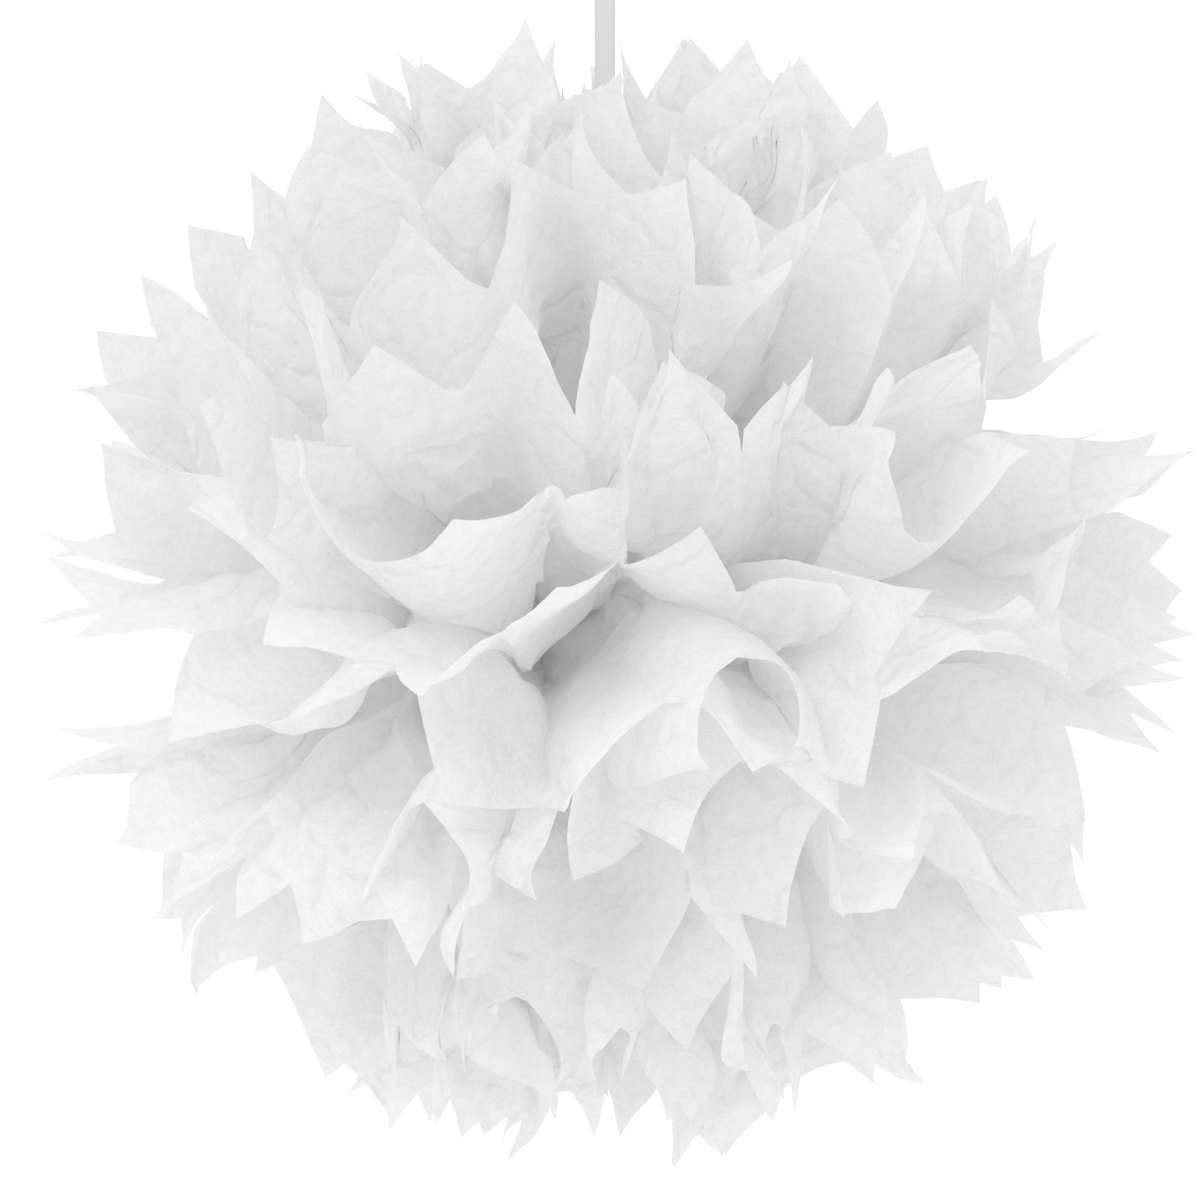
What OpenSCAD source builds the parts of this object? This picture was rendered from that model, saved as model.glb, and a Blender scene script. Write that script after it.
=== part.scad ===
// Hanging paper ball: pleated tissue sheets tied at the waist, fanned out into a ball, on a flat ribbon.
// Millimetres, +Z up. The origin is the top of the inside of the ribbon's loop, where a hook bears.

/* [Paper] */
// Distance from the middle of a sheet to its cut points, laid flat
sheet_reach = 205; // [150:1:260]
// Length of a sheet across its pleats, laid flat
sheet_len = 700; // [600:10:900]
// Number of pleat panels across a sheet
panels = 15; // [11:2:19]
// Depth of the pointed cut at the end of each panel
point_cut = 20; // [8:1:30]
// Thickness of the solid that stands for one sheet
paper_t = 0.6; // [0.4:0.1:0.6]

/* [Waist] */
// Half width of the pinched neck of the innermost sheet
neck_r = 6; // [5:0.5:8]
// Growth of the neck's half width from one sheet to the next one out
neck_step = 1.2; // [1:0.1:1.6]
// Height from one sheet to the next where they pass through the tie
neck_pitch = 0.8; // [0.7:0.05:1]
// Thickness of the wire round the neck
wire_t = 1; // [0.6:0.1:1.2]
// Length of the wire's twisted end
wire_tail = 13; // [8:1:20]

/* [Ribbon] */
// Width of the ribbon
ribbon_w = 7; // [5:0.5:7]
// Thickness of the solid that stands for the ribbon
ribbon_t = 0.4; // [0.3:0.1:0.6]
// Depth of the middle of the ball below the top of the loop
ball_drop = 275; // [265:1:320]
// Depth of the loop's knot below the top of the loop
loop_drop = 42; // [34:1:50]
// Radius of the bend at the top of the loop, inside
loop_r = 6; // [4:0.5:9]
// Radius of the knot that closes the loop
knot_r = 4.5; // [3.5:0.5:5]

/* [Hidden] */
$fn = 64;
half = 6;                          // sheets pulled up, and as many pulled down
slot = 4.5;                        // half of the slot between the left and right fans, for the ribbon
panel_w = sheet_len / panels;
valley_r = sheet_reach - slot - point_cut;   // fan radius at the bottom of the cuts
fan_step = 180 / (2 * half);       // angle from one sheet to the next
play = 0.3;                        // clearance at the joints
stack_h = half * neck_pitch;       // half height of the stack in the tie
wire_y = neck_r + (half - 1) * neck_step + 0.6;   // half width inside the wire
wire_z = stack_h + 1.5;            // half height inside the wire
knot_h = 7;                        // height of the ribbon's knot on the tie
knot_base = wire_z + wire_t;
knot_half = 3.9;
knot_round = 1.6;

// The ribbon's route, top to bottom, in the frame of the whole part
ribbon_route = [[0, 0, -loop_drop - knot_r - play], [0, 0, -80], [0, 0, -120], [0, 0, -160],
                [0, 0, -200], [0, 0, -240], [0, 0, knot_base + knot_h + play - ball_drop]];

// Sheet number i, counted from the middle of the ball outwards
function lift(i) = fan_step * (i - 0.5);
function neck_radius(i) = neck_r + (half - i) * neck_step;
function azimuth(j) = -90 + 180 * j / panels;

// Half height of the pleats at the rim: whatever the panel has over after closing the circle
function pleat_h(i) =
    let (chord = PI * valley_r * cos(lift(i)) / panels)
    0.5 * sqrt(max(0, panel_w * panel_w - chord * chord));
function pleat_lift(i, j) = lift(i) + (j % 2 == 0 ? 1 : -1) * asin(pleat_h(i) / valley_r);

// Fold line j of the right-hand fan, from the middle of the neck to the rim, upper face
function fold_top(i, j) =
    let (a = azimuth(j), e = pleat_lift(i, j), r = neck_radius(i), z = i * neck_pitch)
    [[0, r * sin(a), z],
     [slot + r * cos(a), r * sin(a), z],
     [slot + valley_r * cos(e) * cos(a), valley_r * cos(e) * sin(a), z + valley_r * sin(e)]];

// The same fold line on the lower face
function fold_bottom(i, j) =
    let (p = fold_top(i, j), a = azimuth(j), e = lift(i))
    [p[0] - [0, 0, paper_t],
     p[1] - [0, 0, paper_t],
     p[2] + paper_t * [sin(e) * cos(a), sin(e) * sin(a), -cos(e)]];

// The cut point in the middle of the panel between two neighbouring fold lines
function cut_point(p, q) =
    let (inner = (p[1] + q[1]) / 2, outer = (p[2] + q[2]) / 2)
    outer + point_cut * (outer - inner) / norm(outer - inner);

function mirrored(p) = [-p[0], p[1], p[2]];
// A fold line right across the sheet, from the left rim to the right rim
function across(p) = [mirrored(p[2]), mirrored(p[1]), p[0], p[1], p[2]];

module paper_sheet(i) {
    top = [for (j = [0:panels]) fold_top(i, j)];
    bottom = [for (j = [0:panels]) fold_bottom(i, j)];
    faces_of_points = [top, bottom];
    width = 5;                     // points along one fold line
    side = (panels + 1) * width;   // points of one face without its cut points
    grid = [for (s = faces_of_points) each [for (p = s) each across(p)]];
    tips = [for (s = faces_of_points) each
            [for (j = [0:panels - 1]) each
             let (tip = cut_point(s[j], s[j + 1])) [mirrored(tip), tip]]];
    function at(s, j, k) = s * side + j * width + k;
    function tip_at(s, j, k) = 2 * side + s * 2 * panels + 2 * j + k;
    function flip(s, f) = s == 0 ? f : [f[2], f[1], f[0]];
    skin = [for (s = [0, 1], j = [0:panels - 1], k = [0:width - 2]) each
            [flip(s, [at(s, j, k), at(s, j + 1, k), at(s, j + 1, k + 1)]),
             flip(s, [at(s, j, k), at(s, j + 1, k + 1), at(s, j, k + 1)])]];
    points_skin = [for (s = [0, 1], j = [0:panels - 1]) each
                   [flip(s, [at(s, j, 0), tip_at(s, j, 0), at(s, j + 1, 0)]),
                    flip(s, [at(s, j, 4), at(s, j + 1, 4), tip_at(s, j, 1)])]];
    function wall(a, b, c, d) = [[a, b, c], [a, c, d]];
    rims = [for (j = [0:panels - 1]) each concat(
        wall(at(0, j, 0), at(1, j, 0), tip_at(1, j, 0), tip_at(0, j, 0)),
        wall(tip_at(0, j, 0), tip_at(1, j, 0), at(1, j + 1, 0), at(0, j + 1, 0)),
        wall(tip_at(0, j, 1), tip_at(1, j, 1), at(1, j, 4), at(0, j, 4)),
        wall(at(0, j + 1, 4), at(1, j + 1, 4), tip_at(1, j, 1), tip_at(0, j, 1)))];
    edges = [for (k = [0:width - 2]) each concat(
        wall(at(0, 0, k + 1), at(1, 0, k + 1), at(1, 0, k), at(0, 0, k)),
        wall(at(0, panels, k), at(1, panels, k), at(1, panels, k + 1), at(0, panels, k + 1)))];
    polyhedron(concat(grid, tips), concat(skin, points_skin, rims, edges));
}

module upper_sheet(i) {
    color([0.96, 0.96, 0.96]) translate([0, 0, -ball_drop]) paper_sheet(i);
}

module lower_sheet(i) {
    color([0.93, 0.93, 0.93]) translate([0, 0, -ball_drop]) mirror([0, 0, 1]) paper_sheet(i);
}

// A lens outline: two arcs through (y, 0) and (0, z)
module lens(y, z) {
    r = (y * y + z * z) / (2 * z);
    intersection() {
        translate([0, z - r]) circle(r, $fn = 128);
        translate([0, r - z]) circle(r, $fn = 128);
    }
}

// Thin wire round the pinched necks, with its two ends twisted together at the back
module waist_wire() {
    color("silver") translate([0, 0, -ball_drop]) {
        rotate([90, 0, 90]) linear_extrude(2 * wire_t, center = true) difference() {
            lens(wire_y + 3 * wire_t, wire_z + wire_t);
            lens(wire_y + 1.5 * wire_t, wire_z);
        }
        translate([0, wire_y + 2 * wire_t, 0]) rotate([-90, 0, 0]) cylinder(wire_tail, r = 0.9 * wire_t);
    }
}

// The ribbon's lower end, knotted on the wire: a rounded barrel with a flat top and bottom
module ribbon_knot() {
    color("gainsboro") translate([0, 0, knot_base - ball_drop]) rotate_extrude() union() {
        translate([0, knot_round]) square([knot_half, knot_h - 2 * knot_round]);
        square([knot_half - knot_round, knot_h]);
        for (z = [knot_round, knot_h - knot_round]) intersection() {
            translate([knot_half - knot_round, z]) circle(knot_round);
            square([knot_half, knot_h]);
        }
    }
}

// A flat ribbon swept down a vertical route, with thin bevelled edges: 8 sides
function ribbon_section() =
    let (w = ribbon_w / 2, t = ribbon_t / 2, b = ribbon_t / 4)
    [[w, -b], [w, b], [w - b, t], [-w + b, t], [-w, b], [-w, -b], [-w + b, -t], [w - b, -t]];

module hanging_ribbon() {
    section = ribbon_section();
    n = len(section);
    rings = len(ribbon_route);
    points = [for (p = ribbon_route) each [for (s = section) [p[0] + s[0], p[1] + s[1], p[2]]]];
    sides = [for (k = [0:rings - 2], s = [0:n - 1]) each
             let (a = k * n + s, b = k * n + (s + 1) % n)
             [[a, b, b + n], [a, b + n, a + n]]];
    top = [[for (s = [n - 1:-1:0]) s]];
    bottom = [[for (s = [0:n - 1]) (rings - 1) * n + s]];
    color("gainsboro") polyhedron(points, concat(sides, top, bottom));
}

// A round knot, so that it turns in its place under the loop and over the ribbon
module loop_knot() {
    color("gainsboro") translate([0, 0, -loop_drop]) sphere(knot_r);
}

// Teardrop outline round a bend of radius r at the top, closing to a point at the knot's middle
module teardrop(r) {
    drop = loop_drop - loop_r;
    lean = asin(r / drop);
    circle(r);
    polygon([[0, -drop], [r * cos(lean), -r * sin(lean)], [-r * cos(lean), -r * sin(lean)]]);
}

// The ribbon doubled back on itself above the knot
module hanging_loop() {
    color("gainsboro") difference() {
        translate([0, 0, -loop_r]) rotate([90, 0, 90]) linear_extrude(ribbon_w, center = true)
            difference() {
                teardrop(loop_r + ribbon_t);
                teardrop(loop_r);
            }
        translate([0, 0, -loop_drop]) sphere(knot_r + play);
    }
}

upper_sheet(1);  // upper_sheet_1
upper_sheet(2);  // upper_sheet_2
upper_sheet(3);  // upper_sheet_3
upper_sheet(4);  // upper_sheet_4
upper_sheet(5);  // upper_sheet_5
upper_sheet(6);  // upper_sheet_6
lower_sheet(1);  // lower_sheet_1
lower_sheet(2);  // lower_sheet_2
lower_sheet(3);  // lower_sheet_3
lower_sheet(4);  // lower_sheet_4
lower_sheet(5);  // lower_sheet_5
lower_sheet(6);  // lower_sheet_6
waist_wire();
ribbon_knot();
hanging_ribbon();
loop_knot();
hanging_loop();
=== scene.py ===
"""A white tissue paper ball on a satin ribbon: twelve pleated sheets, tied at the waist
and fanned out into petals."""

import math

import bpy
import numpy as np
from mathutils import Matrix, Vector
from mathutils.bvhtree import BVHTree


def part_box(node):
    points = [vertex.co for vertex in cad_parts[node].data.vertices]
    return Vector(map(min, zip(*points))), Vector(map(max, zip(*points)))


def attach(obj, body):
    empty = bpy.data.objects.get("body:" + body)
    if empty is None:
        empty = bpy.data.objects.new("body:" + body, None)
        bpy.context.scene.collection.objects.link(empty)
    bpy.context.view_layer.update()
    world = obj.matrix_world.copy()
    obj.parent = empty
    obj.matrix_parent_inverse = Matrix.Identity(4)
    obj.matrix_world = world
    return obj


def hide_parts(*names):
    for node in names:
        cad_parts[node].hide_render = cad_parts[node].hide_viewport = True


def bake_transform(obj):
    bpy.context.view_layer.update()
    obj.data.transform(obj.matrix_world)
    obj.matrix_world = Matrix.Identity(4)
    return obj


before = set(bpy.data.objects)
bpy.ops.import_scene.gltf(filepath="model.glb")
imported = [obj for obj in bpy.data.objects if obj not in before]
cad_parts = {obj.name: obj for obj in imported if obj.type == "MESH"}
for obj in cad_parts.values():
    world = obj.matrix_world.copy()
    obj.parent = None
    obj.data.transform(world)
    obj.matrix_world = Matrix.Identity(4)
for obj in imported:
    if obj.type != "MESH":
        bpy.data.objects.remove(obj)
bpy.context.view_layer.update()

# ---------------------------------------------------------------- sizes, in metres
SHEET_REACH = 0.205          # from the tie to the cut points, laid flat
SHEET_LEN = 0.700            # across the pleats, laid flat
PANELS = 15                  # between 16 fold lines on each side of the tie
POINT_CUT = 0.030            # usual depth of the pointed cut at each panel's end, deeper than in CAD
SLOT = 0.0045                # half of the slot between the left and right fans
NECK_R = 0.006               # half width of the innermost sheet's neck in the tie
NECK_STEP = 0.0012           # how much wider the next sheet's neck is
NECK_PITCH = 0.0008          # from one sheet to the next along the stack
HALF = sum(name.startswith("upper_sheet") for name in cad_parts)    # sheets above the tie's middle
PANEL_W = SHEET_LEN / PANELS
RIBBON_W, RIBBON_T = 0.007, 0.0003       # its real thickness, less than its CAD solid's
WIRE_R = 0.0005


def box_of(node):
    """A CAD node's lowest and highest corners at rest."""
    low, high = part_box(node)
    return Vector(low), Vector(high)


def middle(node):
    """The middle of a CAD node's box at rest."""
    low, high = box_of(node)
    return (low + high) / 2


BALL = Vector((0, 0, middle("waist_wire").z))
LOOP_KNOT = middle("loop_knot")
TIE_KNOT = middle("ribbon_knot")
RIBBON_TOP = box_of("hanging_ribbon")[1].z
RIBBON_END = box_of("hanging_ribbon")[0].z

# ---------------------------------------------------------------- grid of one sheet
ACROSS = 12                  # mesh steps across one panel
ALONG = 44                   # mesh steps from the tie to the rim
COLUMNS = PANELS * ACROSS + 1
ROWS = 2 * ALONG + 1
SEED = 21


def add_piece(name, data):
    """A new object in the scene."""
    piece = bpy.data.objects.new(name, data)
    bpy.context.scene.collection.objects.link(piece)
    return piece


# ---------------------------------------------------------------- camera
def make_camera():
    """Near level, slightly above the ball's middle, far enough away for little perspective."""
    distance, rise = 1.7, math.radians(6.5)
    seen_width = 0.4218
    camera = bpy.data.cameras.new("camera")
    camera.sensor_width = 36
    camera.lens = camera.sensor_width * distance / seen_width
    camera.clip_end = 50
    eye = add_piece("camera", camera)
    off_middle = Vector((-0.0017, 0, -0.001))        # the ball is a little right of the view's middle
    aim = BALL + off_middle
    eye.location = aim + distance * Vector((0, -math.cos(rise), math.sin(rise)))
    eye.rotation_euler = (aim - eye.location).to_track_quat("-Z", "Y").to_euler()
    bpy.context.scene.camera = eye


# ---------------------------------------------------------------- small tools
def smooth(x):
    """0 below 0, 1 above 1, and a soft step between."""
    x = np.clip(x, 0, 1)
    return x * x * (3 - 2 * x)


def around(angle, strengths, rng):
    """A smooth random curve round the ball: one wave for each strength, slowest first."""
    total = np.zeros_like(angle)
    for k, strength in enumerate(strengths, 1):
        total += strength * np.cos(k * angle + rng.uniform(0, 2 * math.pi))
    return total


# ---------------------------------------------------------------- ribbon, knots and wire
def sweep(name, path, wide, half_w, half_t, closed=False, sides=16):
    """A mesh strip with round edges along path. wide gives the direction across it at each point.
    Its UV map is in metres: across the strip, and along it."""
    count = len(path)
    index = np.arange(count)
    after = (index + 1) % count if closed else np.minimum(index + 1, count - 1)
    before = (index - 1) % count if closed else np.maximum(index - 1, 0)
    path, wide = np.array(path, float), np.array(wide, float)
    along = path[after] - path[before]
    along /= np.linalg.norm(along, axis=1)[:, None]
    wide = wide - along * (wide * along).sum(1)[:, None]
    wide /= np.linalg.norm(wide, axis=1)[:, None]
    thick = np.cross(along, wide)
    turn = np.linspace(0, 2 * math.pi, sides, endpoint=False)
    across = half_w * np.sign(np.cos(turn)) * np.abs(np.cos(turn)) ** 0.8
    through = half_t * np.sign(np.sin(turn)) * np.abs(np.sin(turn)) ** 0.4
    points = path[:, None] + wide[:, None] * across[None, :, None] + thick[:, None] * through[None, :, None]
    rings = count if closed else count - 1
    faces = []
    for k in range(rings):
        for j in range(sides):
            here, there, step = k * sides, (k + 1) % count * sides, (j + 1) % sides
            faces.append((here + j, here + step, there + step, there + j))
    if not closed:
        faces.append(tuple(range(sides - 1, -1, -1)))
        faces.append(tuple(range((count - 1) * sides, count * sides)))
    mesh = bpy.data.meshes.new(name)
    mesh.from_pydata(points.reshape(-1, 3).tolist(), [], faces)
    length = np.concatenate([[0], np.cumsum(np.linalg.norm(np.diff(path, axis=0), axis=1))])
    uv = mesh.uv_layers.new(name="flat")
    for polygon in mesh.polygons:
        polygon.use_smooth = True
        for loop in polygon.loop_indices:
            ring, side = divmod(mesh.loops[loop].vertex_index, sides)
            uv.data[loop].uv = (across[side], length[ring])
    return add_piece(name, mesh)


def make_ribbon(satin):
    """The flat ribbon from the tie's knot up to the loop's knot, with a slight natural wave."""
    tuck = 0.001                                     # how far each end goes into its knot
    bottom, top = RIBBON_END - tuck, RIBBON_TOP + tuck
    z = np.linspace(bottom, top, 90)
    wave = np.sin((z - bottom) / (top - bottom) * math.pi)       # none at the knots, most half way up
    sway, twist = 0.0005, math.radians(4)
    path = np.stack([0 * z, sway * wave * np.sin(z * 60), z], 1)
    turn = twist * wave * np.sin(z * 35 + 1)
    wide = np.stack([np.cos(turn), np.sin(turn), 0 * z], 1)
    ribbon = sweep("ribbon_strip", path, wide, RIBBON_W / 2, RIBBON_T / 2)
    ribbon.data.materials.append(satin)
    return ribbon


def make_loop(satin):
    """The ribbon doubled back above its knot, to hang on a hook."""
    low, high = box_of("hanging_loop")
    top_r = (high.y - low.y) / 2 - RIBBON_T / 2
    centre_z = high.z - RIBBON_T / 2 - top_r
    drop = centre_z - LOOP_KNOT.z
    lean = math.asin(top_r / drop)
    angles = np.linspace(-lean, math.pi + lean, 33)
    arc = [(top_r * math.cos(angle), centre_z + top_r * math.sin(angle)) for angle in angles]
    start = LOOP_KNOT.z + 0.0025                     # inside the knot
    y_top, z_top = arc[0]
    steps = 14
    up = [(y_top * k / steps, start + (z_top - start) * k / steps) for k in range(steps)]
    outline = up + arc + [(-y, z) for y, z in up[::-1]]
    path = [(0, y, z) for y, z in outline]
    loop = sweep("loop_strip", path, [(1, 0, 0)] * len(path), RIBBON_W / 2, RIBBON_T / 2)
    loop.data.materials.append(satin)
    return loop


def make_knot(name, centre, half_height, satin):
    """An overhand knot pulled tight: gathered ribbon that winds three times round the middle."""
    steps = np.linspace(0, 2 * math.pi, 96, endpoint=False)
    size = 0.00105                                   # a third of the knot's radius
    strand_w, strand_t = 0.0015, 0.0008              # half width and half thickness of the gathered ribbon
    x = size * (np.sin(steps) + 2 * np.sin(2 * steps))
    y = size * (np.cos(steps) - 2 * np.cos(2 * steps))
    z = -(half_height - 0.0013) * np.sin(3 * steps)
    path = np.stack([x, y, z], 1)
    outward = path + 1e-6                            # never zero
    along = np.roll(path, -1, 0) - np.roll(path, 1, 0)
    wide = np.cross(along, outward)
    knot = sweep(name, path + np.array(centre), wide, strand_w, strand_t, closed=True, sides=14)
    knot.data.materials.append(satin)
    return knot


def make_wire(painted):
    """Two turns of thin wire round the neck, twisted together at the back."""
    low, high = box_of("waist_wire")
    half_z = (high.z - low.z) / 2 - WIRE_R
    half_y = -low.y - WIRE_R * 2
    bow = (half_y ** 2 + half_z ** 2) / (2 * half_z)             # radius of the arc over the stack
    reach = math.asin(half_y / bow)
    angles = np.linspace(-reach, reach, 33)[:-1]
    over = [(bow * math.sin(angle), bow * math.cos(angle) - (bow - half_z)) for angle in angles]
    ring = over + [(-y, -z) for y, z in over]
    pieces = []
    beside = WIRE_R * 1.05
    for name, x in (("wire_turn_1", -beside), ("wire_turn_2", beside)):
        path = [(x, y, z + BALL.z) for y, z in ring]
        pieces.append(sweep(name, path, [(1, 0, 0)] * len(path), WIRE_R, WIRE_R, closed=True, sides=10))
    twist, turns = np.linspace(0, 1, 80), 5
    for name, phase in (("wire_end_1", 0), ("wire_end_2", math.pi)):
        angle = phase + twist * turns * 2 * math.pi
        y = half_y + twist * (high.y - half_y - WIRE_R)
        path = np.stack([WIRE_R * np.cos(angle), y, BALL.z + WIRE_R * np.sin(angle)], 1)
        pieces.append(sweep(name, path, [(0, 0, 1)] * len(path), WIRE_R, WIRE_R, sides=10))
    for piece in pieces:
        piece.data.materials.append(painted)
        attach(piece, "ball")
    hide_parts("waist_wire")


def make_hanging(satin):
    """The ribbon, its loop and its two knots."""
    ribbon = make_ribbon(satin)
    loop = make_loop(satin)
    loop_knot_half, tie_knot_half = 0.0045, 0.0035   # their half heights
    loop_knot = make_knot("loop_overhand_knot", LOOP_KNOT, loop_knot_half, satin)
    tie_knot = make_knot("tie_overhand_knot", TIE_KNOT, tie_knot_half, satin)
    for piece, body, node in ((loop, "hanger", "hanging_loop"), (loop_knot, "knot", "loop_knot"),
                              (tie_knot, "ball", "ribbon_knot")):
        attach(piece, body)
        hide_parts(node)
    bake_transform(ribbon)
    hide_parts("hanging_ribbon")


# ---------------------------------------------------------------- tissue sheets
U = np.arange(COLUMNS) / ACROSS          # panels from the sheet's end, for each column
FOLDS = np.arange(PANELS + 1)
PANEL_OF = np.clip(U.astype(int), 0, PANELS - 1)  # the panel that each column is in
STEPS = np.linspace(0, SHEET_REACH + 0.008, 44)   # distances from the tie at which a fold line is laid out


def flat_half(rng):
    """t, how far each grid point of half a sheet lies from the tie, laid flat: (COLUMNS, ALONG + 1)."""
    lean = np.where(np.arange(PANELS) % 2, 1, -1) * rng.integers(0, 2) + rng.integers(-1, 2, PANELS)
    tip = (0.5 + np.clip(lean * ACROSS // 7, -3, 3) / ACROSS)[PANEL_OF]      # at a column, near the middle
    depth = (POINT_CUT * rng.uniform(0.75, 1.25, PANELS))[PANEL_OF]
    place = U - PANEL_OF
    below = np.where(place < tip, (tip - place) / tip, (place - tip) / (1 - tip))    # 1 at the folds
    uneven = rng.normal(0, 0.002, PANELS)[PANEL_OF]
    reach = SHEET_REACH - depth * below + uneven * (1 - below)
    torn = (0.009 * rng.random(PANELS) * (rng.random(PANELS) < 0.3))[PANEL_OF]
    reach = reach + torn * (below == 0)                  # a thin torn corner here and there
    reach[::ACROSS] = SHEET_REACH - POINT_CUT            # the folds
    closer = 0.35                                        # the rows lie closer together towards the rim
    v = np.linspace(0, 1, ALONG + 1)
    v = v * (1 + closer - closer * v)
    return reach[:, None] * v[None, :]


def crush(t):
    """How much of a panel's width is left at t from the tie, where the pleats are squeezed together."""
    in_tie = 0.14
    return in_tie + (1 - in_tie) * smooth((t - 0.006) / 0.075)


def creases(t, rng):
    """Heights of half a sheet with short straight creases at random places and angles, in metres."""
    count, steepness = 90, 0.34
    height = np.zeros_like(t)
    s = np.repeat((U * PANEL_W)[:, None], t.shape[1], 1)
    for _ in range(count):
        ds, dt = s - rng.uniform(0, SHEET_LEN), t - rng.uniform(0.05, SHEET_REACH)
        angle, slope, size = rng.uniform(0, math.pi), rng.normal(0, steepness), rng.uniform(0.02, 0.05)
        near = np.exp(-(ds ** 2 + dt ** 2) / size ** 2)
        height += slope * np.abs(ds * math.cos(angle) + dt * math.sin(angle)) * near
    return height


def fold_lines(number, seam, over, rng, common_lift):
    """The fold lines of half a sheet, fanned out to the right: (folds, steps, 3), z upwards from the middle.
    seam shifts its two ends, in panels, and over lifts each end over the other half's end, or under it."""
    overlap = 0.7                                        # of the two halves at a seam, in panels
    folded = np.abs(rng.normal(0, 1, PANELS)).clip(0, 2.2)
    wide = 1.12 - (0.2 + 0.06 * number) * folded         # most panels are nearly flat
    place = np.concatenate([[0], np.cumsum(wide)])
    first, last = seam[0] - overlap, PANELS + seam[1] + overlap
    place = first + (last - first) * place / place[-1]
    start = (-math.pi / 2 + math.pi * FOLDS / PANELS)[:, None]
    end = -math.pi / 2 + math.pi * place / PANELS
    end = (end + 0.06 * np.sin(2 * end))[:, None]        # closer together at the seams
    angle = start + (end - start) * smooth((STEPS - 0.03) / 0.10)

    # each fold line leaves the tie at its lift and curls up on its way to the rim, most at the seams
    top = math.pi / 2 - 0.08
    lift = top / HALF * (number - 0.5) + common_lift(end)
    lift = lift + around(end, [0.02, 0.02, 0.03, 0.03], rng) + rng.normal(0, 0.075, (PANELS + 1, 1))
    away = np.stack([FOLDS, PANELS - FOLDS]) / 2.5       # how far a fold is from each seam
    lift = lift + (0.07 * np.clip(1 - away, 0, 1) * over[:, None]).sum(0)[:, None]
    bent = min(0.4 + 0.25 * (number - 1), 1)             # the middle sheets point straighter out there
    front = np.sin(end) ** 2                             # 1 at the seams, 0 half way between them
    curl = math.radians(18) + math.radians(68) * bent * front ** 3 + rng.normal(0, 0.25, (PANELS + 1, 1))
    tangent = lift - curl / 3 + curl * (STEPS / SHEET_REACH) ** 2

    neck = NECK_R + (HALF - number) * NECK_STEP
    run = np.diff(np.clip(STEPS - SLOT - neck, 0, None))
    mean = (tangent[:, 1:] + tangent[:, :-1]) / 2
    none = np.zeros((PANELS + 1, 1))
    rho = neck + np.concatenate([none, np.cumsum(run * np.cos(mean), 1)], 1)
    rise = np.concatenate([none, np.cumsum(run * np.sin(mean), 1)], 1)
    inside = np.clip(STEPS / (SLOT + neck), 0, 1)

    # pleats: whatever width a panel has over, once its two folds are as far apart as the fan puts them
    chord = rho * np.gradient(end[:, 0])[:, None]
    spare = (PANEL_W * crush(STEPS)) ** 2 - chord ** 2
    depth = 0.5 * np.sqrt(np.maximum(spare, (0.25 * PANEL_W) ** 2))
    depth = np.minimum(depth, 0.75 * rho)
    opened = rng.uniform(0.75, 1.3, (PANELS + 1, 1))
    depth = depth * (1 + (opened - 1) * smooth((STEPS - 0.06) / 0.1))
    free = np.clip((STEPS - 0.09) / 0.115, 0, 1) ** 2
    out = depth * (1 - 2 * (FOLDS % 2))[:, None] + free * rng.normal(0, 0.012, (PANELS + 1, 1))

    x = SLOT * inside + (rho * inside - np.sin(tangent) * out) * np.cos(angle)
    y = (rho - np.sin(tangent) * out) * np.sin(angle)
    return np.stack([x, y, number * NECK_PITCH + rise + np.cos(tangent) * out], -1)


def fan(number, side, seam, over, t, rng, common_lift):
    """Half a sheet, fanned out to the right: flat panels between their fold lines, with their ends
    bent into petals: (COLUMNS, ALONG + 1, 3)."""
    folds = fold_lines(number, seam, over, rng, common_lift)
    place = (U - PANEL_OF)[:, None]

    def along(lines):
        """The lines' points at each column's own t."""
        return np.stack([[np.interp(row, STEPS, line[:, k]) for k in range(3)]
                         for row, line in zip(t, lines)]).transpose(0, 2, 1)

    low, high = along(folds[PANEL_OF]), along(folds[PANEL_OF + 1])
    points = low + (high - low) * place[..., None]
    normal = np.cross(high - low, np.gradient(points, axis=1))
    normal /= np.maximum(np.linalg.norm(normal, axis=-1, keepdims=True), 1e-9)

    # petals: a panel's end is creased down its middle, and its tip bends
    free = np.clip((t - 0.095) / 0.11, 0, 1)
    ridge = 1 - 2 * np.abs(place - 0.5)
    middle_fold = rng.normal(0, 0.009, PANELS)[PANEL_OF]
    tip_bend = 0.009 * rng.standard_t(3, PANELS).clip(-3, 3)[PANEL_OF]
    out = free ** 1.5 * ridge * middle_fold[:, None]
    out = out + free ** 4 * ridge * tip_bend[:, None]
    out = out + creases(t, rng) * smooth((t - 0.04) / 0.06)
    points = points + normal * out[..., None]
    points[..., 2] *= side
    return points


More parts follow.
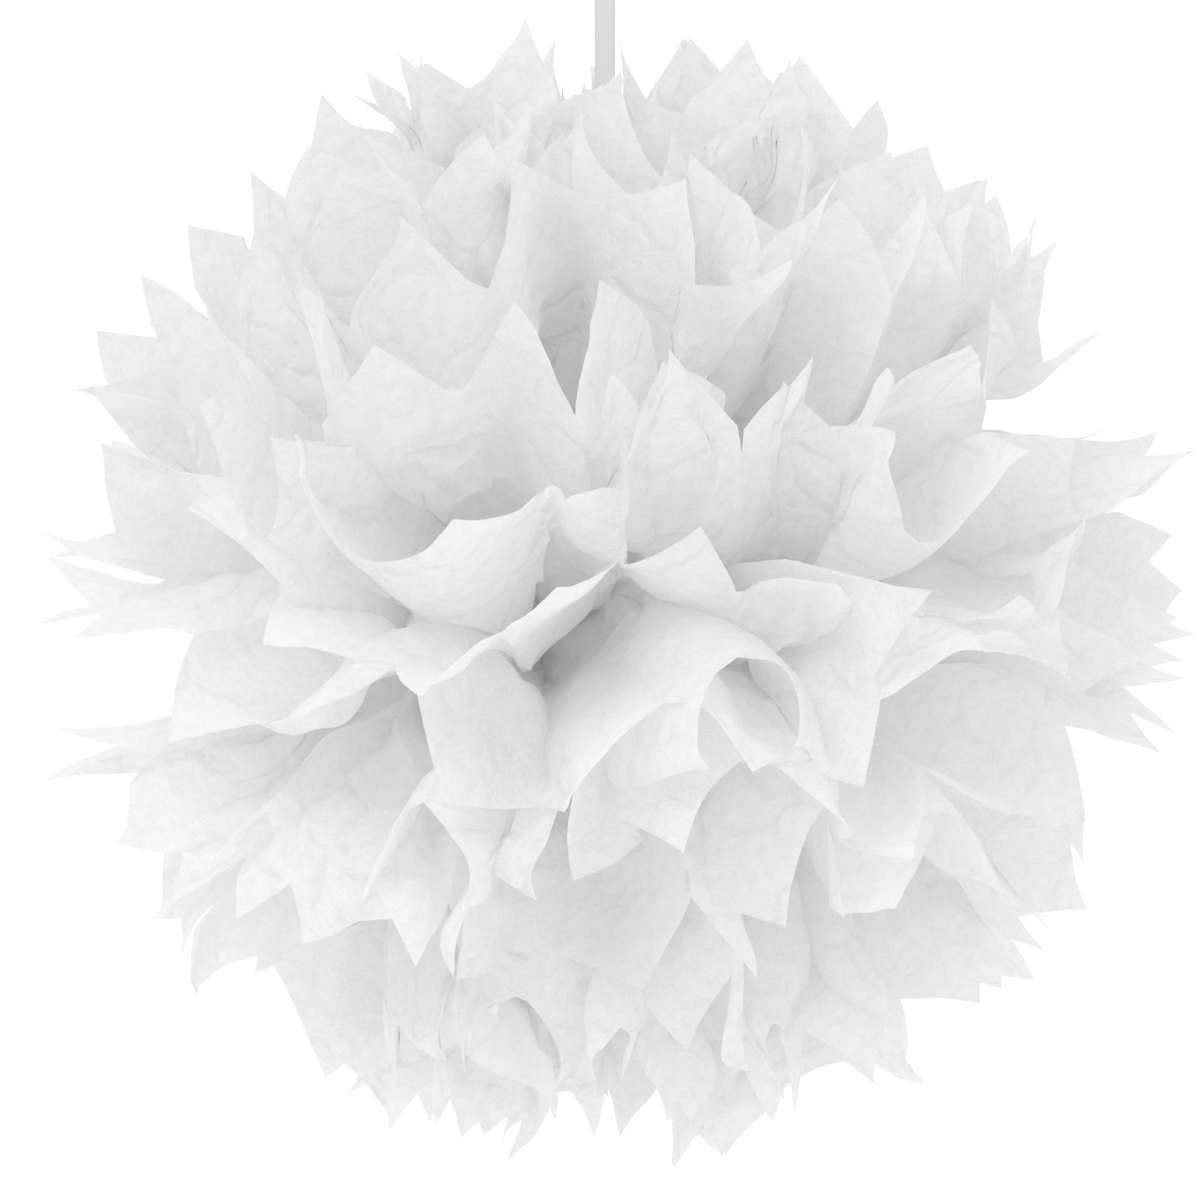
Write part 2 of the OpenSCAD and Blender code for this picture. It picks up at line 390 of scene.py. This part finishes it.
def fanned_sheets(rng):
    """The grids of all sheets, fanned out but not yet at their true lengths, (sheets, COLUMNS, ROWS, 3),
    and how far each of their points lies from the tie, less than 0 on the left: (sheets, COLUMNS, ROWS)."""
    grids, lengths = [], []
    for side in (1, -1):
        strengths = ((1, 0.03), (2, 0.05), (3, 0.03))
        waves = [(k, strength, rng.uniform(0, 2 * math.pi)) for k, strength in strengths]

        def lift_of(angle):
            """What all sheets of this side are raised by, in this direction round the ball."""
            return sum(strength * np.cos(k * angle + phase) for k, strength, phase in waves)

        for number in range(1, HALF + 1):
            seam = rng.normal(0, 1.3, 2)
            over = rng.choice([-1, 1], 2)
            t_right, t_left = flat_half(rng), flat_half(rng)
            right = fan(number, side, seam, over, t_right, rng, lift_of)
            left = fan(number, side, -seam, -over, t_left, rng, lambda angle: lift_of(math.pi - angle))
            left[..., 0] *= -1
            grids.append(np.concatenate([left[:, :0:-1], right], 1))
            lengths.append(np.concatenate([-t_left[:, :0:-1], t_right], 1))
    return np.stack(grids), np.stack(lengths)


def links(t):
    """The edges that hold the sheets' shapes: slices of both ends, flat length and stiffness."""
    on_fold = np.arange(COLUMNS) % ACROSS == 0

    def link(di, dj, stiffness, span=0):
        """From each point to the one di columns and dj rows on. span is how many columns it bridges."""
        i0, i1 = max(0, -di), COLUMNS - max(0, di)
        a = (slice(None), slice(i0, i1), slice(0, ROWS - dj))
        b = (slice(None), slice(i0 + di, i1 + di), slice(dj, ROWS))
        ds = di * PANEL_W / ACROSS * crush((np.abs(t[a]) + np.abs(t[b])) / 2)
        weight = np.full(i1 - i0, float(stiffness))
        for k in range(1, span):         # nothing stiffens the paper across a fold
            weight[on_fold[i0 + k:i1 + k]] = 0
        return a, b, np.hypot(ds, t[b] - t[a]).astype(np.float32), weight.astype(np.float32)[None, :, None]

    stretch = [link(1, 0, 1.0), link(0, 1, 1.0), link(1, 1, 0.6), link(-1, 1, 0.6)]
    bending = [link(2, 0, 0.35, 2), link(0, 2, 0.35), link(5, 0, 0.6, 5), link(0, 7, 0.5)]
    return stretch, bending


def relax(x, t, rounds):
    """Pulls every edge back to its flat length, as paper does. Slight bends flatten and sharp ones
    stay as creases."""
    haste = 1.6                          # how much of its links' mean pull a point follows in one round
    memory = 0.0015                      # how much it is drawn back to where it started
    crease_at = 0.02                     # a link this much shorter than flat starts to yield
    ribbon_room = 0.006                  # radius of the way down to the tie
    stretch, bending = links(t)
    held = (np.abs(t) < 0.011)[..., None]
    x = x.astype(np.float32)
    goal = x.copy()
    load = np.zeros(x.shape[:3], np.float32)
    for a, b, _, weight in stretch + bending:
        load[a] += weight
        load[b] += weight
    load = load[..., None]
    for _ in range(rounds):
        move = np.zeros_like(x)
        for bends, group in enumerate((stretch, bending)):
            for a, b, rest, weight in group:
                d = x[b] - x[a]
                length = np.sqrt((d * d).sum(-1))
                gap = (length - rest) / np.maximum(length, 1e-6)
                if bends:
                    gap = np.minimum(gap, 0)
                    gap = gap / (1 + (gap / crease_at) ** 2)
                push = (0.5 * gap * weight)[..., None] * d
                move[a] += push
                move[b] -= push
        x += np.where(held, 0, haste * move / load + memory * (goal - x))
        off = np.hypot(x[..., 0], x[..., 1])
        near = (off < ribbon_room) & (x[..., 2] > 0.005)
        grow = np.where(near, ribbon_room / np.maximum(off, 1e-4), 1)[..., None]
        x[..., :2] = np.where(held, x[..., :2], x[..., :2] * grow)
    return x


def grid_quads():
    """The faces of one sheet's grid."""
    index = np.arange(COLUMNS * ROWS).reshape(COLUMNS, ROWS)
    corners = [index[:-1, :-1], index[1:, :-1], index[1:, 1:], index[:-1, 1:]]
    return np.stack(corners, -1).reshape(-1, 4).tolist()


def part_sheets(x, t):
    """Moves points of neighbouring sheets apart where one has come through the other. They keep
    their stacked order."""
    gap, reach, most = 0.0012, 0.025, 0.004              # wanted apart, looked for, moved at once
    bottom_up = list(range(2 * HALF - 1, HALF - 1, -1)) + list(range(HALF))
    quads = grid_quads()
    trees = [BVHTree.FromPolygons(grid.reshape(-1, 3).tolist(), quads) for grid in x]
    far = np.abs(t) > 0.03
    move = np.zeros_like(x)
    for low, high in zip(bottom_up, bottom_up[1:]):
        for this, other, up in ((high, low, 1), (low, high, -1)):
            for i, j in zip(*np.nonzero(far[this])):
                point = Vector(x[this, i, j].tolist())
                near, normal, _, _ = trees[other].find_nearest(point, reach)
                if near is None:
                    continue
                away = point - near
                if away.length > 1e-6 and abs(away.dot(normal)) < 0.6 * away.length:
                    continue             # beside the other sheet's rim, not through it
                height = -up * away.dot(normal)
                if height < gap:
                    push = min(0.5 * (gap - height), most)
                    move[this, i, j] -= np.array(normal) * (up * push)
    return x + move


def sheet_mesh(name, points, t, number):
    """A mesh of one sheet, with its flat coordinates as UV and its fold lines creased."""
    mesh = bpy.data.meshes.new(name)
    mesh.from_pydata((points + np.array(BALL)).reshape(-1, 3).tolist(), [], grid_quads())
    s = np.repeat(U * PANEL_W, ROWS) + number * SHEET_LEN     # each sheet has its own crumples
    loops = np.empty(len(mesh.loops), int)
    mesh.loops.foreach_get("vertex_index", loops)
    uv = mesh.uv_layers.new(name="flat")
    uv.data.foreach_set("uv", np.stack([s[loops], t.ravel()[loops]], -1).astype(np.float32).ravel())

    ends = np.empty(2 * len(mesh.edges), int)
    mesh.edges.foreach_get("vertices", ends)
    column = ends.reshape(-1, 2) // ROWS
    on_fold = (column[:, 0] == column[:, 1]) & (column[:, 0] % ACROSS == 0)
    crease = mesh.attributes.new("crease_edge", "FLOAT", "EDGE")
    crease.data.foreach_set("value", np.where(on_fold, 0.9, 0).astype(np.float32))
    sharp_fold = mesh.attributes.new("sharp_edge", "BOOLEAN", "EDGE")
    sharp_fold.data.foreach_set("value", on_fold)
    reach = np.abs(t[:, [0, -1]])
    turn = np.zeros((COLUMNS, 2))
    turn[1:-1] = np.abs(reach[2:] - 2 * reach[1:-1] + reach[:-2])
    turn[[0, -1]] = 1
    corner = np.zeros((COLUMNS, ROWS), np.float32)
    corner[:, [0, -1]] = turn > 0.001    # the cut's points and notches stay sharp
    sharp = mesh.attributes.new("crease_vert", "FLOAT", "POINT")
    sharp.data.foreach_set("value", corner.ravel())
    mesh.polygons.foreach_set("use_smooth", np.ones(len(mesh.polygons), bool))
    mesh.update()
    return mesh


def make_sheets(tissue):
    """The twelve sheets, in place of their CAD solids."""
    rng = np.random.default_rng(SEED)
    start, t = fanned_sheets(rng)
    grids = relax(start, t, 300)
    for _ in range(4):
        grids = relax(part_sheets(grids, t), t, 25)
    grids = part_sheets(grids, t)
    names = [f"{side}_sheet_{n}" for side in ("upper", "lower") for n in range(1, HALF + 1)]
    crumples = bpy.data.textures.new("crumples", "CLOUDS")
    crumples.noise_type = "HARD_NOISE"
    crumples.noise_scale = 0.045
    crumples.noise_depth = 2
    for number, (name, points, lengths) in enumerate(zip(names, grids, t)):
        piece = add_piece(f"{name}_tissue", sheet_mesh(name, points, lengths, number))
        piece.data.materials.append(tissue)
        fine = piece.modifiers.new("fine", "SUBSURF")
        fine.levels = fine.render_levels = 1
        away = piece.vertex_groups.new(name="away_from_tie")
        for row in range(ROWS):
            weight = float(smooth((abs(row - ALONG) / ALONG - 0.25) / 0.35))
            away.add(range(row, COLUMNS * ROWS, ROWS), weight, "REPLACE")
        crumple = piece.modifiers.new("crumple", "DISPLACE")
        crumple.texture = crumples
        crumple.texture_coords = "UV"
        crumple.uv_layer = "flat"
        crumple.vertex_group = away.name
        crumple.strength = 0.002
        crumple.mid_level = 0.35
        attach(piece, "ball")
        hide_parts(name)


# ---------------------------------------------------------------- materials
def new_material(name, rough, specular=0.5):
    """A material, its node tree and its shader."""
    material = bpy.data.materials.new(name)
    material.use_nodes = True
    shader = material.node_tree.nodes["Principled BSDF"]
    shader.inputs["Roughness"].default_value = rough
    shader.inputs["Specular IOR Level"].default_value = specular
    return material, material.node_tree, shader


def add_node(tree, kind, values=None, wires=None, **settings):
    """A shader node with its own settings, its sockets' values, and what is wired into its sockets."""
    node = tree.nodes.new("ShaderNode" + kind)
    for key, value in settings.items():
        setattr(node, key, value)
    for socket, value in (values or {}).items():
        node.inputs[socket].default_value = value
    for socket, source in (wires or {}).items():
        tree.links.new(source, node.inputs[socket])
    return node


def add_noise(tree, place, scale, detail=2):
    """Noise over the coordinates at place."""
    values = {"Scale": scale, "Detail": detail}
    return add_node(tree, "TexNoise", values, {"Vector": place}).outputs["Fac"]


def add_range(tree, source, values):
    """source, mapped from one range to another."""
    return add_node(tree, "MapRange", values, {"Value": source}).outputs["Result"]


def add_bump(tree, height, distance, strength, below=None):
    """A bump of this height, on top of the bump below."""
    wires = {"Height": height} | ({"Normal": below} if below else {})
    return add_node(tree, "Bump", {"Strength": strength, "Distance": distance}, wires).outputs["Normal"]


def add_mix(tree, factor, first, second):
    """A mix of two colours. The first is a colour or what gives it."""
    node = add_node(tree, "Mix", data_type="RGBA")
    node.inputs["B"].default_value = second
    tree.links.new(factor, node.inputs["Factor"])
    if isinstance(first, tuple):
        node.inputs["A"].default_value = first
    else:
        tree.links.new(first, node.inputs["A"])
    return node.outputs["Result"]


def tissue_material():
    """Thin white tissue: fine fibres, sharp little creases, soft sheen, and light that comes through."""
    material, tree, shader = new_material("white_tissue", 0.38, 0.55)
    wire = tree.links.new
    flat = add_node(tree, "UVMap", uv_map="flat").outputs["UV"]

    # colour: mostly fibre, with a little cloud
    fibre, cloud = add_noise(tree, flat, 1100, 3), add_noise(tree, flat, 240)
    share = add_node(tree, "Math", {1: 0.4}, {0: cloud}, operation="MULTIPLY").outputs["Value"]
    both = add_node(tree, "Math", {1: 0.6}, {0: fibre, 2: share}, operation="MULTIPLY_ADD").outputs["Value"]
    tint = add_range(tree, both, {"From Min": 0.37, "From Max": 0.63, "To Min": 0.83, "To Max": 1.0})
    wire(tint, shader.inputs["Base Color"])

    # fine creases, which wander instead of running dead straight
    wander = add_node(tree, "TexNoise", {"Scale": 45}, {"Vector": flat}).outputs["Color"]
    shifted = add_node(tree, "VectorMath", {1: (0.02, 0.02, 0.02)}, {0: wander, 2: flat},
                       operation="MULTIPLY_ADD").outputs["Vector"]
    cells = add_node(tree, "TexVoronoi", {"Scale": 42}, {"Vector": shifted}, feature="DISTANCE_TO_EDGE")
    crease = add_range(tree, cells.outputs["Distance"], {"From Max": 0.11})
    soft = add_bump(tree, add_noise(tree, flat, 130), 0.002, 0.5)
    lines = add_bump(tree, crease, 0.0012, 0.7, soft)
    grain = add_bump(tree, fibre, 0.0005, 0.5, lines)
    wire(grain, shader.inputs["Normal"])

    through = add_node(tree, "BsdfTranslucent", wires={"Color": tint, "Normal": grain}).outputs["BSDF"]
    light_through = 0.6
    mix = add_node(tree, "MixShader", {"Fac": light_through}, {1: shader.outputs["BSDF"], 2: through})
    wire(mix.outputs["Shader"], tree.nodes["Material Output"].inputs["Surface"])
    return material


def satin_material():
    """Pale satin ribbon with painted shade, its colour a mid grey: fine ribs across it, a woven edge and a
    soft gloss.
    """
    material, tree, shader = new_material("satin_ribbon", 0.38, 0.4)
    shader.inputs["Sheen Weight"].default_value = 0.15
    flat = add_node(tree, "UVMap", uv_map="flat").outputs["UV"]
    ribs = add_node(tree, "TexWave", {"Scale": 900, "Distortion": 0.6}, {"Vector": flat},
                    bands_direction="Y").outputs["Fac"]           # a rib every 0.35 mm
    slub = add_noise(tree, flat, 350)
    across = add_node(tree, "SeparateXYZ", wires={"Vector": flat}).outputs["X"]
    off = add_node(tree, "Math", wires={0: across}, operation="ABSOLUTE").outputs["Value"]
    edge = add_range(tree, off, {"From Min": 0.0028, "From Max": 0.0031})
    # painted shade: these greys, the woven edge's too, are darker than the pale satin; the slub noise is its
    # own uneven tone
    tone = add_mix(tree, slub, (0.46, 0.46, 0.47, 1), (0.53, 0.53, 0.54, 1))
    woven = add_mix(tree, edge, tone, (0.42, 0.42, 0.43, 1))
    tree.links.new(woven, shader.inputs["Base Color"])
    tree.links.new(add_bump(tree, ribs, 0.00008, 0.35), shader.inputs["Normal"])
    return material


def wire_material():
    """Thin wire under chipped white paint."""
    material, tree, shader = new_material("painted_wire", 0.4)
    place = add_node(tree, "TexCoord").outputs["Object"]
    chips = add_noise(tree, place, 600, 4)
    bare = add_range(tree, chips, {"From Min": 0.62, "From Max": 0.66})
    tone = add_mix(tree, bare, (0.85, 0.85, 0.85, 1), (0.42, 0.42, 0.43, 1))
    tree.links.new(tone, shader.inputs["Base Color"])
    tree.links.new(bare, shader.inputs["Metallic"])
    tree.links.new(add_bump(tree, chips, 0.0001, 0.3), shader.inputs["Normal"])
    return material


def floor_material():
    """Matt and pale, with a faint glow of its own."""
    material, _, shader = new_material("pale_floor", 0.9)
    shader.inputs["Base Color"].default_value = (0.95, 0.95, 0.95, 1)
    shader.inputs["Emission Color"].default_value = (1, 1, 1, 1)
    shader.inputs["Emission Strength"].default_value = 0.2
    return material


# ---------------------------------------------------------------- studio
def make_studio():
    """A pale floor well below the ball, a white surround and soft lights."""
    world = bpy.data.worlds.new("surround")
    bpy.context.scene.world = world
    world.use_nodes = True
    tree = world.node_tree
    background = tree.nodes["Background"]
    background.inputs["Color"].default_value = (1, 1, 1, 1)
    lighting, behind = 0.76, 1.05                    # what lights the paper, and what is seen behind it
    seen = add_node(tree, "LightPath").outputs["Is Camera Ray"]
    level = add_range(tree, seen, {"To Min": lighting, "To Max": behind})
    tree.links.new(level, background.inputs["Strength"])
    bpy.context.scene.view_settings.view_transform = "Standard"
    bpy.context.scene.view_settings.gamma = 2.1      # the low contrast of a bright studio picture
    bpy.context.scene.cycles.diffuse_bounces = 8     # light goes on from sheet to sheet, deep between them
    mesh = bpy.data.meshes.new("floor")
    half, low = 1.7, BALL.z - 0.65
    mesh.from_pydata([(-half, -half, low), (half, -half, low), (half, half, low), (-half, half, low)],
                     [], [(0, 1, 2, 3)])
    floor = add_piece("floor", mesh)
    floor.data.materials.append(floor_material())
    for name, place, size, power in (
            ("key", (-1.0, -1.2, 1.4), 0.8, 16),
            ("fill", (1.6, -1.0, 0.3), 1.2, 3)):
        lamp = bpy.data.lights.new(name, "AREA")
        lamp.size = size
        lamp.energy = power
        light = add_piece(name, lamp)
        light.location = BALL + Vector(place)
        light.rotation_euler = (-Vector(place)).to_track_quat("-Z", "Y").to_euler()


make_camera()
make_hanging(satin_material())
make_wire(wire_material())
make_sheets(tissue_material())
make_studio()
